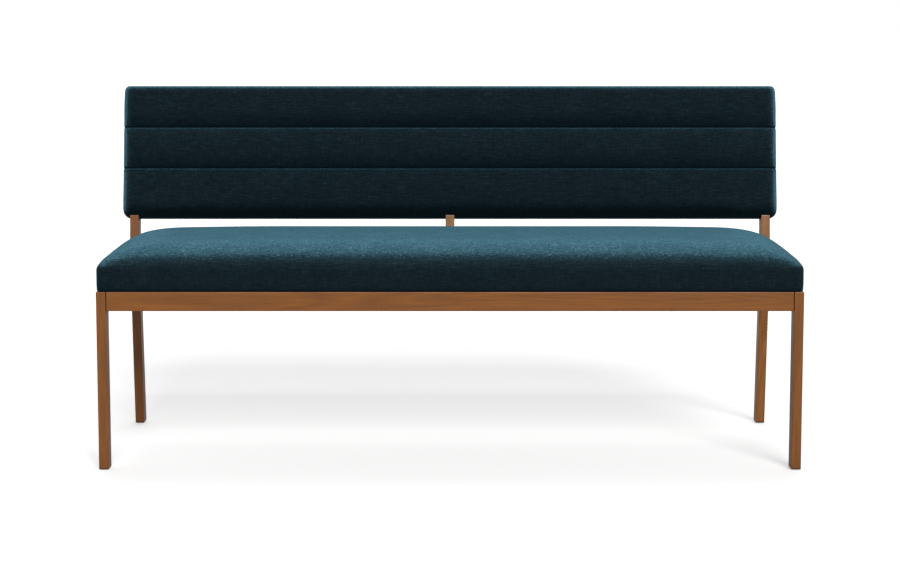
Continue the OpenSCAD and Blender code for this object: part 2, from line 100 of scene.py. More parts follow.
# The back cushion, drawn upright on the front face of the posts and leaned back with them
BACK_H = 0.3145
BACK_LIFT = 0.099
BACK_X = FRAME_W / 2 + 0.015
BACK_TOP = BACK_LIFT + BACK_H
BACK_PROUD = 0.008
CHANNEL_H = 0.097
UPPER_SEAM = BACK_TOP - CHANNEL_H - 0.0014
LOWER_SEAM = UPPER_SEAM - CHANNEL_H - 0.0002
LOW_EDGE_R = 0.021
LOW_EDGE_H = 0.045
TOP_EDGE_R = 0.014
END_EDGE_R = 0.024
HEM_EDGE_R = 0.004
TOP_CORNER_R = 0.0115
LOW_CORNER_R = 0.022
BACK_SWELL = 0.0010
SIDE_SWELL = 0.0011
LOW_FLARE = 0.0027
TOP_TAPER = 0.0025
TOP_TAPER_H = 0.060
BACK_PUFF = 0.0014
HEM_Y = LEG_D + 0.0018
REAR_FACE = HEM_Y + 0.0051

# The seams of the back: the stitched dip, the nick it makes in the ends, and the painted shade beside it and
# below the lower seam
SEAM_DIP = 0.0012
SEAM_DIP_W = 0.0010
SEAM_NICK = 0.0014
SEAM_SHADE = 0.94
SEAM_SHADE_W = 0.0018
LOW_SHADE = 0.26
LOW_SHADE_H = 0.0065
LOW_SHADE_WIDE = 0.13
LOW_SHADE_WIDE_H = 0.030

# The cloth run that softens both cushions
CLOTH_FRAMES = 14
CLOTH_PRESSURE = 4.0


def eased(share):
    """A smooth start and a smooth end between 0 and 1."""
    share = np.clip(share, 0, 1)
    return share * share * (3 - 2 * share)


def make_object(name, verts, faces):
    mesh = bpy.data.meshes.new(name)
    mesh.from_pydata([tuple(v) for v in verts], [], [tuple(f) for f in faces])
    mesh.polygons.foreach_set("use_smooth", [True] * len(mesh.polygons))
    mesh.update()
    obj = bpy.data.objects.new(name, mesh)
    bpy.context.scene.collection.objects.link(obj)
    return obj


def bridge(loops, n, turned=False):
    """Faces that join each closed loop of n points to the next one."""
    faces = []
    for k in range(loops - 1):
        for i in range(n):
            j = (i + 1) % n
            a, b, c, d = k * n + i, k * n + j, (k + 1) * n + j, (k + 1) * n + i
            faces.append((a, d, c, b) if turned else (a, b, c, d))
    return faces


def coords(mesh):
    co = np.empty(len(mesh.vertices) * 3, np.float32)
    mesh.vertices.foreach_get("co", co)
    return co.reshape(-1, 3).astype(float)


def set_coords(mesh, co):
    mesh.vertices.foreach_set("co", np.asarray(co, np.float32).ravel())
    mesh.update()


def clean(obj, merge=1e-5):
    bm = bmesh.new()
    bm.from_mesh(obj.data)
    bmesh.ops.remove_doubles(bm, verts=bm.verts, dist=merge)
    bmesh.ops.dissolve_degenerate(bm, edges=bm.edges, dist=merge)
    bmesh.ops.recalc_face_normals(bm, faces=bm.faces)
    bm.to_mesh(obj.data)
    bm.free()
    obj.data.update()


def subdivide(obj):
    modifier = obj.modifiers.new("subdivision", "SUBSURF")
    modifier.levels = 1
    modifier.render_levels = 1


def inflate(obj, held, most, stiffness, bending):
    """Cloth pressure on the closed mesh, with the held vertices pinned.

    Each point keeps its share of the swelling along its own normal, scaled so that none moves further
    out than most.
    """
    rest = coords(obj.data)
    normals = np.empty(len(rest) * 3, np.float32)
    obj.data.vertices.foreach_get("normal", normals)
    normals = normals.reshape(-1, 3).astype(float)
    group = obj.vertex_groups.new(name="held")
    group.add([int(i) for i in np.nonzero(held)[0]], 1.0, "REPLACE")
    modifier = obj.modifiers.new("cloth", "CLOTH")
    modifier.collision_settings.use_collision = False
    modifier.point_cache.frame_start = 1
    modifier.point_cache.frame_end = CLOTH_FRAMES
    cloth = modifier.settings
    cloth.quality = 5
    cloth.mass = 0.3
    cloth.tension_stiffness = stiffness
    cloth.compression_stiffness = stiffness
    cloth.shear_stiffness = stiffness / 3
    cloth.bending_stiffness = bending
    cloth.use_pressure = True
    cloth.uniform_pressure_force = CLOTH_PRESSURE
    cloth.effector_weights.gravity = 0
    cloth.vertex_group_mass = "held"

    scene = bpy.context.scene
    for number in range(1, CLOTH_FRAMES + 1):
        scene.frame_set(number)
    graph = bpy.context.evaluated_depsgraph_get()
    moved = coords(obj.evaluated_get(graph).data)
    obj.modifiers.remove(modifier)
    scene.frame_set(1)

    along = ((moved - rest) * normals).sum(axis=1)
    kept = np.clip(along * most / max(along.max(), most), -most / 10, most)
    set_coords(obj.data, rest + normals * kept[:, None])
    obj.vertex_groups.clear()


class Nodes:
    """Short names for the nodes of one material or world."""

    def __init__(self, owner):
        owner.use_nodes = True
        self.owner = owner
        self.tree = owner.node_tree
        self.tree.nodes.clear()
        world = isinstance(owner, bpy.types.World)
        self.output = self.add("ShaderNodeOutputWorld" if world else "ShaderNodeOutputMaterial")
        self.coord = self.add("ShaderNodeTexCoord").outputs["Generated" if world else "Object"]

    def add(self, kind):
        return self.tree.nodes.new(kind)

    def link(self, value, socket):
        if isinstance(value, bpy.types.NodeSocket):
            self.tree.links.new(value, socket)
        else:
            socket.default_value = value

    def math(self, operation, *values):
        node = self.add("ShaderNodeMath")
        node.operation = operation
        for value, socket in zip(values, node.inputs):
            self.link(value, socket)
        return node.outputs[0]

    def total(self, *weighted):
        """The sum of values, each times its weight."""
        result = None
        for value, weight in weighted:
            part = self.math("MULTIPLY", value, weight)
            result = part if result is None else self.math("ADD", result, part)
        return result

    def split(self, vector):
        node = self.add("ShaderNodeSeparateXYZ")
        self.link(vector, node.inputs[0])
        return node.outputs

    def scaled(self, factors, offset=(0, 0, 0)):
        node = self.add("ShaderNodeMapping")
        self.link(self.coord, node.inputs["Vector"])
        node.inputs["Scale"].default_value = factors
        node.inputs["Location"].default_value = offset
        return node.outputs[0]

    def noise(self, vector, detail=2.0, roughness=0.5, distortion=0.0):
        node = self.add("ShaderNodeTexNoise")
        self.link(vector, node.inputs["Vector"])
        node.inputs["Scale"].default_value = 1.0
        node.inputs["Detail"].default_value = detail
        node.inputs["Roughness"].default_value = roughness
        node.inputs["Distortion"].default_value = distortion
        return node.outputs[0]

    def ramp(self, factor, stops):
        """A colour ramp. A stop's colour may be one number, for a grey."""
        node = self.add("ShaderNodeValToRGB")
        self.link(factor, node.inputs["Fac"])
        elements = node.color_ramp.elements
        while len(elements) < len(stops):
            elements.new(0.5)
        for element, (place, colour) in zip(elements, stops):
            element.position = place
            element.color = (*colour, 1) if isinstance(colour, tuple) else (colour, colour, colour, 1)
        return node.outputs["Color"]

    def spread(self, factor, low, high, to_low=0.0, to_high=1.0, smooth=False):
        node = self.add("ShaderNodeMapRange")
        if smooth:
            node.interpolation_type = "SMOOTHSTEP"
        self.link(factor, node.inputs["Value"])
        for name, value in (("From Min", low), ("From Max", high), ("To Min", to_low), ("To Max", to_high)):
            self.link(value, node.inputs[name])
        return node.outputs[0]

    def mix(self, factor, a, b, kind="MIX"):
        node = self.add("ShaderNodeMix")
        node.data_type = "RGBA"
        node.blend_type = kind
        self.link(factor, node.inputs["Factor"])
        for value, socket in ((a, node.inputs[6]), (b, node.inputs[7])):
            self.link((*value, 1) if isinstance(value, tuple) else value, socket)
        return node.outputs[2]

    def bump(self, height, strength, distance):
        node = self.add("ShaderNodeBump")
        self.link(height, node.inputs["Height"])
        node.inputs["Strength"].default_value = strength
        node.inputs["Distance"].default_value = distance
        return node.outputs[0]

    def simple(self, kind, grey, strength=None):
        """A plain diffuse, emission or background shader."""
        node = self.add(kind)
        node.inputs["Color"].default_value = (grey, grey, grey, 1)
        if strength is not None:
            self.link(strength, node.inputs["Strength"])
        return node.outputs[0]

    def seen(self, others, camera):
        """The surface is one shader for the camera's own rays, and another for all the rest."""
        pick = self.add("ShaderNodeMixShader")
        self.link(self.add("ShaderNodeLightPath").outputs["Is Camera Ray"], pick.inputs["Fac"])
        self.link(others, pick.inputs[1])
        self.link(camera, pick.inputs[2])
        self.link(pick.outputs[0], self.output.inputs["Surface"])

    def principled(self, **values):
        node = self.add("ShaderNodeBsdfPrincipled")
        for name, value in values.items():
            self.link(value, node.inputs[name.replace("_", " ")])
        self.link(node.outputs[0], self.output.inputs["Surface"])
        return self.owner


def srgb(*levels):
    """A linear colour from levels of 0 to 255."""
    shares = [v / 255 for v in levels]
    return tuple(v / 12.92 if v <= 0.04045 else ((v + 0.055) / 1.055) ** 2.4 for v in shares)


# Colours of the fabric by its woven tone: the body between the raised fibres, and the lighter teal of a
# painted sheen that is mixed over it
BODY_STOPS = [
    (0.37, (0.0046, 0.0104, 0.0138)), (0.47, (0.0081, 0.0162, 0.0206)),
    (0.54, (0.0102, 0.0202, 0.0254)), (0.66, (0.0205, 0.0360, 0.0448))]
PAINTED_SHEEN_COLOURS = [
    (0.39, (0.018, 0.078, 0.112)), (0.47, (0.054, 0.157, 0.211)),
    (0.53, (0.077, 0.204, 0.269)), (0.60, (0.180, 0.366, 0.452))]
# Share of the painted sheen in the colour, by how far the surface turns away or up
PAINTED_SHEEN_STOPS = [
    (0.0, 0.0), (0.055, 0.025), (0.125, 0.06), (0.21, 0.12), (0.285, 0.27), (0.335, 0.47), (0.40, 0.63),
    (0.50, 0.75), (0.60, 0.86), (0.74, 1.0), (0.80, 0.95), (0.89, 0.78)]
# Painted shade: faces that look down have their body colour darkened
DOWNWARD_SHADE_STOPS = [
    (0.0, (0.11, 0.20, 0.22)), (0.15, (0.12, 0.21, 0.24)), (0.30, (0.17, 0.28, 0.31)),
    (0.40, (0.24, 0.34, 0.38)), (0.44, (0.38, 0.46, 0.49)), (0.475, (0.60, 0.68, 0.70)),
    (0.52, (0.86, 0.89, 0.90)), (0.60, (1.0, 1.0, 1.0))]
SEAM_SHADE_COLOUR = (0.0010, 0.0034, 0.0052)
SHEEN_TINT = (0.062, 0.175, 0.230, 1)
WEAVE_PITCH = 0.0016
# The sine and cosine of the camera's look down at the seat, which the seat's painted sheen is drawn for
LOOK_DOWN = 0.1115
LOOK_LEVEL = 0.9938


def fabric_material(name, depth, lying):
    """Dark teal woven upholstery with slubs along and across, a soft sheen on its raised pile, and a painted
    sheen mixed into its colour.

    The painted sheen of a lying cushion goes by how far its surface turns up, that of an upright one by how
    far it turns away. Faces that look down, and the seams, get painted shade.
    """
    n = Nodes(bpy.data.materials.new(name))
    normal_x, _, normal_z = n.split(n.add("ShaderNodeNewGeometry").outputs["Normal"])
    ends = n.math("POWER", n.math("ABSOLUTE", normal_x), 4.0)
    flats = n.math("POWER", n.math("ABSOLUTE", normal_z), 4.0)

    along = n.noise(n.scaled((40, 400, 400)), detail=3, roughness=0.6)
    across_front = n.noise(n.scaled((440, 60, 60), (3.1, 1.7, 0.4)), detail=3, roughness=0.6)
    across_end = n.noise(n.scaled((60, 440, 60), (1.3, 5.2, 2.2)), detail=3, roughness=0.6)
    across = n.total((across_front, n.math("SUBTRACT", 1.0, ends)), (across_end, ends))
    speckle = n.noise(n.scaled((520, 520, 520), (7, 3, 1)), detail=1, roughness=0.6)
    cloudy = n.noise(n.scaled((14, 14, 14), (2, 8, 5)))
    tone = n.total((along, 0.50), (across, 0.28), (speckle, 0.12), (cloudy, 0.10))
    streak = n.noise(n.scaled((430, 140, 300), (4, 9, 2)), detail=3, roughness=0.75)
    tuft = n.noise(n.scaled((150, 260, 420), (9, 1, 6)), roughness=0.7)
    fleck = n.total((streak, 0.55), (tuft, 0.45))
    # depth scales the body colour down; the back's darker body is painted shade
    body = n.ramp(tone, [(place, tuple(depth * c for c in colour)) for place, colour in BODY_STOPS])
    painted_sheen_colour = n.ramp(n.total((tone, 0.45), (fleck, 0.55)), PAINTED_SHEEN_COLOURS)

    # Painted sheen: a lighter teal is mixed into the colour as the surface turns away, or for a lying cushion
    # as it turns up, and kept off faces that look down
    if lying:
        level = n.math("SQRT", n.math("SUBTRACT", 1.0, n.math("MULTIPLY", normal_z, normal_z)))
        toward = n.math("MULTIPLY_ADD", level, LOOK_LEVEL, n.math("MULTIPLY", normal_z, LOOK_DOWN))
        facing = n.math("SUBTRACT", 1.0, toward)
    else:
        turned = n.add("ShaderNodeLayerWeight")
        turned.inputs["Blend"].default_value = 0.5
        facing = turned.outputs["Facing"]
    ragged = n.math("ADD", facing, n.math("MULTIPLY_ADD", fleck, 0.48, -0.24))
    painted_sheen = n.math("MULTIPLY", n.ramp(ragged, PAINTED_SHEEN_STOPS), n.spread(normal_z, -0.30, 0.02))
    # Painted shade on faces that look down
    downward_shade = n.ramp(n.math("MULTIPLY_ADD", normal_z, 0.5, 0.5), DOWNWARD_SHADE_STOPS)
    colour = n.mix(painted_sheen, n.mix(1.0, body, downward_shade, "MULTIPLY"), painted_sheen_colour)
    # Painted shade in the seams and below the lower seam, read from a point attribute
    sewn = n.add("ShaderNodeAttribute")
    sewn.attribute_name = "sewn"
    colour = n.mix(sewn.outputs["Fac"], colour, SEAM_SHADE_COLOUR)

    # Plain weave, drawn three ways and shown by the way the surface faces
    def weave(u, v):
        waves = [n.math("SINE", n.math("MULTIPLY", w, 2 * math.pi / WEAVE_PITCH)) for w in (u, v)]
        return n.math("MULTIPLY_ADD", n.math("MULTIPLY", *waves), 0.5, 0.5)

    x, y, z = n.split(n.coord)
    fronts = n.math("SUBTRACT", 1.0, n.math("MINIMUM", n.math("ADD", ends, flats), 1.0))
    woven = n.total((weave(x, z), fronts), (weave(x, y), flats), (weave(y, z), ends))
    height = n.total((woven, 0.35), (tone, 1.0))
    return n.principled(
        Base_Color=colour, Roughness=0.95, Specular_IOR_Level=0.04, Sheen_Weight=0.6,
        Sheen_Roughness=0.5, Sheen_Tint=SHEEN_TINT, Normal=n.bump(height, 0.55, 0.0007))


JOINT_SHADE = (0.036, 0.012, 0.004)
CREASE_SHADE = (0.030, 0.011, 0.004)


def along_grain(axis, along, across):
    return tuple(along if name == axis else across for name in "XYZ")


def wood_material(name, axis, seed, light=(151, 91, 31), dark=(125, 73, 22)):
    """Straight-grained wood, with the grain along one axis and painted shade in its creases.

    Level wood has a dark line where it meets the legs.
    """
    n = Nodes(bpy.data.materials.new(name))
    offset = (seed * 3.7, seed * 1.9, seed * 5.3)
    grain = n.noise(n.scaled(along_grain(axis, 5, 95), offset), detail=6, roughness=0.62, distortion=0.6)
    rings = n.noise(n.scaled(along_grain(axis, 1.1, 20.9), offset), detail=1, distortion=0.3)
    rings = n.math("FRACT", n.math("MULTIPLY", rings, 9.0))
    rings = n.math("ABSOLUTE", n.math("MULTIPLY_ADD", rings, 2.0, -1.0))
    pores = n.noise(n.scaled(along_grain(axis, 22, 1100), offset), roughness=0.6)
    pores = n.spread(pores, 0.36, 0.48)
    tone = n.total((grain, 0.75), (rings, 0.25))
    middle = [(a + b) / 2 for a, b in zip(light, dark)]
    colour = n.ramp(tone, [(0.28, srgb(*dark)), (0.50, srgb(*middle)), (0.72, srgb(*light))])
    shade = n.ramp(n.spread(pores, 0.0, 1.0, 0.80, 1.0), [(0.0, 0.0), (1.0, 1.0)])
    colour = n.mix(1.0, colour, shade, "MULTIPLY")
    # Painted shade: an ambient occlusion node darkens the colour in creases and corners
    crease = n.add("ShaderNodeAmbientOcclusion")
    crease.samples = 6
    crease.inputs["Distance"].default_value = 0.006
    n.link(colour, crease.inputs["Color"])
    colour = n.mix(n.spread(crease.outputs["AO"], 0.72, 0.99), CREASE_SHADE, colour)
    if axis == "X":
        inward = n.math("SUBTRACT", JOINT_X, n.math("ABSOLUTE", n.split(n.coord)[0]))
        colour = n.mix(n.spread(inward, 0.0004, 0.0017), JOINT_SHADE, colour)
    rough = n.spread(tone, 0.3, 0.7, 0.42, 0.34)
    normal = n.bump(n.total((pores, 0.6), (grain, 0.8)), 0.25, 0.0004)
    return n.principled(Base_Color=colour, Roughness=rough, Specular_IOR_Level=0.5, Normal=normal)


def speckled_material(name, light, dark, scale, roughness, metallic=0.0, bump=0.0002):
    """A plain material whose colour, roughness and surface vary a little."""
    n = Nodes(bpy.data.materials.new(name))
    tone = n.noise(n.scaled((scale, scale, scale)), detail=4, roughness=0.6)
    colour = n.ramp(tone, [(0.3, srgb(*dark)), (0.7, srgb(*light))])
    rough = n.spread(tone, 0.3, 0.7, roughness + 0.06, roughness - 0.06)
    return n.principled(Base_Color=colour, Roughness=rough, Metallic=metallic, Normal=n.bump(tone, 0.5, bump))


PALE = ((214, 184, 142), (186, 150, 106))

# The back's copy of the fabric has its body painted darker than the seat's, 0.78 against 0.88, as shade
seat_fabric = fabric_material("seat_fabric", 0.88, True)
back_fabric = fabric_material("back_fabric", 0.78, False)
wood_x = wood_material("stained_wood_level", "X", 1.0)
wood_y = wood_material("stained_wood_deep", "Y", 2.3)
wood_z = wood_material("stained_wood_upright", "Z", 3.1, (146, 88, 31), (120, 70, 21))
# A paler copy of the upright wood, as painted light on the right rear leg and post
wood_lit_z = wood_material("stained_wood_upright_painted_light", "Z", 8.2, (163, 104, 47), (136, 84, 33))
# A paler copy of the upright wood, as a painted highlight on the centre post
wood_post_painted_light = wood_material("stained_wood_post_painted_highlight", "Z", 9.4, (168, 117, 66), (142, 96, 50))
pale_x = wood_material("pale_wood_level", "X", 4.2, *PALE)
pale_y = wood_material("pale_wood_deep", "Y", 5.4, *PALE)
pale_z = wood_material("pale_wood_upright", "Z", 6.1, *PALE)
ply = wood_material("plywood_face", "X", 7.7, (206, 172, 128), (182, 144, 98))
zinc = speckled_material("zinc_plate", (196, 198, 202), (160, 163, 168), 300, 0.34, metallic=1.0)
nylon = speckled_material("glide_nylon", (40, 40, 42), (26, 26, 28), 350, 0.5)
dust = speckled_material("dust_cloth", (34, 34, 36), (14, 14, 15), 900, 0.95, bump=0.0004)

NODE_MATERIALS = {
    wood_z: ("front_leg_left", "front_leg_right", "rear_leg_left"),
    wood_lit_z: ("rear_leg_right",),
    wood_post_painted_light: ("back_post_centre",),
    wood_x: ("front_rail", "rear_rail"),
    wood_y: ("side_rail_left", "side_rail_right"),
    pale_x: ("corner_block_front_left", "corner_block_front_right", "corner_block_rear_left",
             "corner_block_rear_right", "back_top_batten", "back_bottom_batten_left",
             "back_bottom_batten_right"),
    pale_y: ("bearer_left", "bearer_centre", "bearer_right"),
    pale_z: ("back_end_batten_left", "back_end_batten_right"),
    ply: ("seat_board", "back_board"),
    nylon: ("leg_glides",),
    dust: ("seat_dust_cover",),
    zinc: ("corner_block_screws", "seat_fixing_screws", "centre_post_screws", "back_board_screws"),
}
# Widths of the eased edges, and the rails whose small edges limit them
FRONT_EASE = 0.0018
REAR_EASE = 0.0022
EASES = {
    "front_leg_left": FRONT_EASE, "front_leg_right": FRONT_EASE, "front_rail": FRONT_EASE,
    "side_rail_left": FRONT_EASE, "side_rail_right": FRONT_EASE, "rear_rail": REAR_EASE,
    "rear_leg_left": REAR_EASE, "rear_leg_right": REAR_EASE, "back_post_centre": REAR_EASE}
LIMITED = ("rear_rail", "side_rail_left", "side_rail_right")


def dress_nodes():
    """Materials for the nodes carried over from the CAD, and eased edges on the wood that shows."""
    for material, names in NODE_MATERIALS.items():
        for name in names:
            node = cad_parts[name]
            node.data.materials.clear()
            node.data.materials.append(material)
    for name, width in EASES.items():
        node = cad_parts[name]
        weld = node.modifiers.new("weld", "WELD")
        weld.merge_threshold = 1e-5
        ease = node.modifiers.new("eased_edges", "BEVEL")
        ease.width = width
        ease.segments = 3
        ease.limit_method = "ANGLE"
        ease.angle_limit = math.radians(40)
        ease.use_clamp_overlap = name in LIMITED
        even = node.modifiers.new("even_normals", "WEIGHTED_NORMAL")
        even.keep_sharp = True


CORNER_STEPS = 16
LONG_STEPS = 176
SHORT_STEPS = 40
CROWN_RINGS = 22
MIDDLE_RINGS = 12


def ring(x, y0, y1, r, z):
    """A level outline with round corners, with the same number of points at every size."""
    corners = [(x - r, y1 - r), (r - x, y1 - r), (r - x, y0 + r), (x - r, y0 + r)]
    points = []
    for corner, (cx, cy) in enumerate(corners):
        for i in range(CORNER_STEPS + 1):
            a = math.radians(90 * corner + 90 * i / CORNER_STEPS)
            points.append((cx + r * math.cos(a), cy + r * math.sin(a), z))
        steps = LONG_STEPS if corner % 2 == 0 else SHORT_STEPS
        nx, ny = corners[(corner + 1) % 4]
        turn = math.radians(90 * corner + 90)
        px, py = points[-1][:2]
        qx, qy = nx + r * math.cos(turn), ny + r * math.sin(turn)
        points += [(px + (qx - px) * i / steps, py + (qy - py) * i / steps, z) for i in range(1, steps)]
    return points


def rise(share, power):
    """Height share of a rounded shoulder, a share of the way in from its edge."""
    return (1 - (1 - min(max(share, 0.0), 1.0)) ** power) ** (1 / power)


def crown_height(x, y, roll):
    """Height of the cushion's crown over its wall."""
    end = rise((PAD_X - abs(x)) / ROLL_END, END_POWER)
    front = rise((y - PAD_FRONT) / ROLL_FRONT, FRONT_POWER)
    rear = rise((PAD_REAR - y) / ROLL_REAR, REAR_POWER)
    deep = min(front, rear)
    corner = FRONT_CORNER if y < (PAD_FRONT + PAD_REAR) / 2 else REAR_CORNER
    both = 1 - min(1.0, ((1 - end) ** corner + (1 - deep) ** corner) ** (1 / corner))
    blend = eased(roll / CROWN_BLEND)
    share = (1 - blend) * rise(roll, 2.0) + blend * both
    across = 2 * (y - PAD_FRONT) / (PAD_REAR - PAD_FRONT) - 1
    dome = DOME_RISE - ((SWELL_SHARE * SEAT_SWELL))
    middle = MIDDLE_RISE * eased((MIDDLE_END - abs(x)) / MIDDLE_FADE) * min(1.0, deep * 1.2)
    droop = END_DROOP * 4 * end * (1 - end) * deep * (1 - eased((y - PAD_FRONT - DROOP_START) / DROOP_FADE))
    droop *= eased((PAD_X - abs(x)) / DROOP_TIP)
    return CROWN_H * share + dome * end * deep * (1 - across ** 2) + middle - droop


def pad_ring(inset, roll, z):
    """A ring of the cushion, drawn in from its outline and rolled in towards its crown."""
    corner = max(SEAT_CORNER_R - inset, SEAT_CORNER_R / 3) + (CROWN_CORNER_R - SEAT_CORNER_R) * roll
    points = ring(PAD_X - inset - ROLL_END * roll, PAD_FRONT + inset + ROLL_FRONT * roll,
                  PAD_REAR - inset - ROLL_REAR * roll, corner, z)
    if roll == 0:
        return points
    return [(px, py, pz + crown_height(px, py, roll)) for px, py, pz in points]


def wall_inset(z):
    up = min(1.0, max(0.0, z - PAD_Z) / (WALL_H * 0.5))
    return LOW_INSET * (1 - math.sin(math.pi / 2 * up))


def drawn_in(points, half_length, mid_y, share):
    """A ring drawn part of the way in to the middle line of the cushion."""
    moved = []
    for x, y, z in points:
        tx = min(max(x, -half_length), half_length)
        moved.append((x + (tx - x) * share, y + (mid_y - y) * share, z))
    return moved


def between_posts(co):
    """The rear wall of the cushion comes back over the rail between the posts, and stays clear of them."""
    across = np.abs(co[:, 0])
    bulge = REAR_BULGE * eased((across - POST_CLEAR) / BULGE_EASE) * eased((LEG_CLEAR - across) / BULGE_EASE)
    co[:, 1] += bulge * eased((co[:, 1] - PAD_REAR + BULGE_DEPTH) / BULGE_DEPTH)
    return co


def seat_cushion():
    """The seat's cover, a closed skin from under the board up the wall and over the crown."""
    low, high = PAD_Z + 0.0012, PAD_Z + WALL_H
    half = PAD_X - HEM_W - (PAD_REAR - PAD_FRONT) / 2
    board = pad_ring(LOW_INSET + HEM_W + 0.002, 0, PAD_Z + 0.0016)
    rings = [drawn_in(board, half, (PAD_FRONT + PAD_REAR) / 2, share) for share in (1, 0.75, 0.5, 0.25)]
    rings.append(board)
    rings += [pad_ring(LOW_INSET + inset, 0, PAD_Z) for inset in (HEM_W, 0.012, 0.0015)]
    for share in (0, 0.07, 0.16, 0.28, 0.42, 0.56, 0.7, 0.85, 1):
        z = low + share * (high - low)
        rings.append(pad_ring(wall_inset(z), 0, z))
    for i in range(1, CROWN_RINGS + 1):
        rings.append(pad_ring(0, 1 - math.cos(math.pi / 2 * i / CROWN_RINGS), high))
    crown = rings[-1]
    half = PAD_X - ROLL_END - (PAD_REAR - PAD_FRONT - ROLL_FRONT - ROLL_REAR) / 2
    middle = (PAD_FRONT + ROLL_FRONT + PAD_REAR - ROLL_REAR) / 2
    for i in range(1, MIDDLE_RINGS + 1):
        inner = drawn_in(crown, half, middle, i / MIDDLE_RINGS)
        rings.append([(x, y, high + crown_height(x, y, 1)) for x, y, z in inner])
    verts = [p for points in rings for p in points]
    seat = make_object("seat_cushion", verts, bridge(len(rings), len(crown)))
    clean(seat)
    held = coords(seat.data)[:, 2] < PAD_Z + 0.010
    inflate(seat, held, SEAT_SWELL, stiffness=15.0, bending=0.5)
    set_coords(seat.data, between_posts(coords(seat.data)))
    subdivide(seat)
    seat.data.materials.append(seat_fabric)
    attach(seat, "root")
    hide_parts("seat_cover", "seat_foam")
    return seat


def on_posts(points):
    """From the leaning front face of the posts to the row frame."""
    p = np.asarray(points, float)
    c, s = math.cos(RAKE), math.sin(RAKE)
    return np.stack([p[:, 0], BEND_Y + p[:, 1] * c + p[:, 2] * s, BEND_Z - p[:, 1] * s + p[:, 2] * c], axis=1)


# Tilt of a channel's face against the plane of the posts, in degrees, down from its upper seam in millimetres
CHANNEL_TILT = [
    (0, 40), (2.2, 34), (4, 20), (6.5, 12), (12, 7), (20, 4), (35, 0), (55, -5), (68, -11), (86, -15),
    (92, -16), (95, -30), (97, -70)]
CHANNEL_MM = 97
# Distances from a seam at which the mesh of the back has a row of points, and its steps elsewhere
SEAM_ROWS = (0, 0.0005, 0.001, 0.0018, 0.0028, 0.0042, 0.006, 0.0085, 0.0115, 0.016, 0.021, 0.027)
ROW_STEP = 0.007
COLUMN_STEP = 0.0085
END_STEPS = 12
LOW_EDGE_STEPS = 11
TOP_EDGE_STEPS = 7
HEM_STEPS = 3
UNDER_STEPS = 4
REAR_STEPS = 40
OVER_STEPS = 5


def channel_depths():
    """How far the face of a channel stands behind its crest, at each millimetre down from its upper seam."""
    places, tilts = zip(*CHANNEL_TILT)
    slopes = np.tan(np.radians(np.interp(np.arange(CHANNEL_MM) + 0.5, places, tilts)))
    out = np.concatenate([[0], np.cumsum(slopes)])
    out -= out[-1] * np.arange(CHANNEL_MM + 1) / CHANNEL_MM
    return (out.max() - out) / 1000


DEPTHS = channel_depths()
CREST = int(np.argmin(DEPTHS))


def from_seam(z):
    """Distance from the nearer seam, for one height or for many."""
    return np.minimum(np.abs(z - UPPER_SEAM), np.abs(z - LOWER_SEAM))


def seam_share(z):
    """How far a front height stands behind the crests of the channels, in metres."""
    if z > UPPER_SEAM:
        down = max(CHANNEL_H - (z - UPPER_SEAM), CREST / 1000)
    elif z > LOWER_SEAM:
        down = UPPER_SEAM - z
    else:
        down = min(LOWER_SEAM - z, CREST / 1000)
    depth = float(np.interp(1000 * down, np.arange(CHANNEL_MM + 1), DEPTHS))
    return depth + SEAM_DIP * math.exp(-(from_seam(z) / SEAM_DIP_W) ** 2)


def front_heights(z0, z1):
    """Heights down the front, close together at the seams."""
    found = {round(s + d * row, 6) for s in (UPPER_SEAM, LOWER_SEAM) for d in (1, -1) for row in SEAM_ROWS}
    stops = [z1] + sorted((z for z in found if z0 < z < z1), reverse=True) + [z0]
    heights = []
    for a, b in zip(stops, stops[1:]):
        pieces = max(1, round((a - b) / ROW_STEP))
        heights += [a + (b - a) * i / pieces for i in range(pieces)]
    return heights + [z0]


FRONT_ROWS = front_heights(BACK_LIFT + LOW_EDGE_H, BACK_TOP - TOP_EDGE_R)


def arc(y, z, r, start, steps, tall=None):
    """A quarter turn, round or, with a height of its own, elliptic."""
    return [(y + r * math.cos(math.radians(start + 90 * i / steps)),
             z + (tall or r) * math.sin(math.radians(start + 90 * i / steps))) for i in range(steps + 1)]


def between(a, b, count):
    """The inner points of a straight line that is cut into count pieces."""
    return [(a[0] + (b[0] - a[0]) * i / count, a[1] + (b[1] - a[1]) * i / count) for i in range(1, count)]


def corner_inset(edge, r):
    """How far a round corner of the back's outline draws in, at a distance from its end."""
    return r - math.sqrt(max(0.0, r * r - max(0.0, r - edge) ** 2))


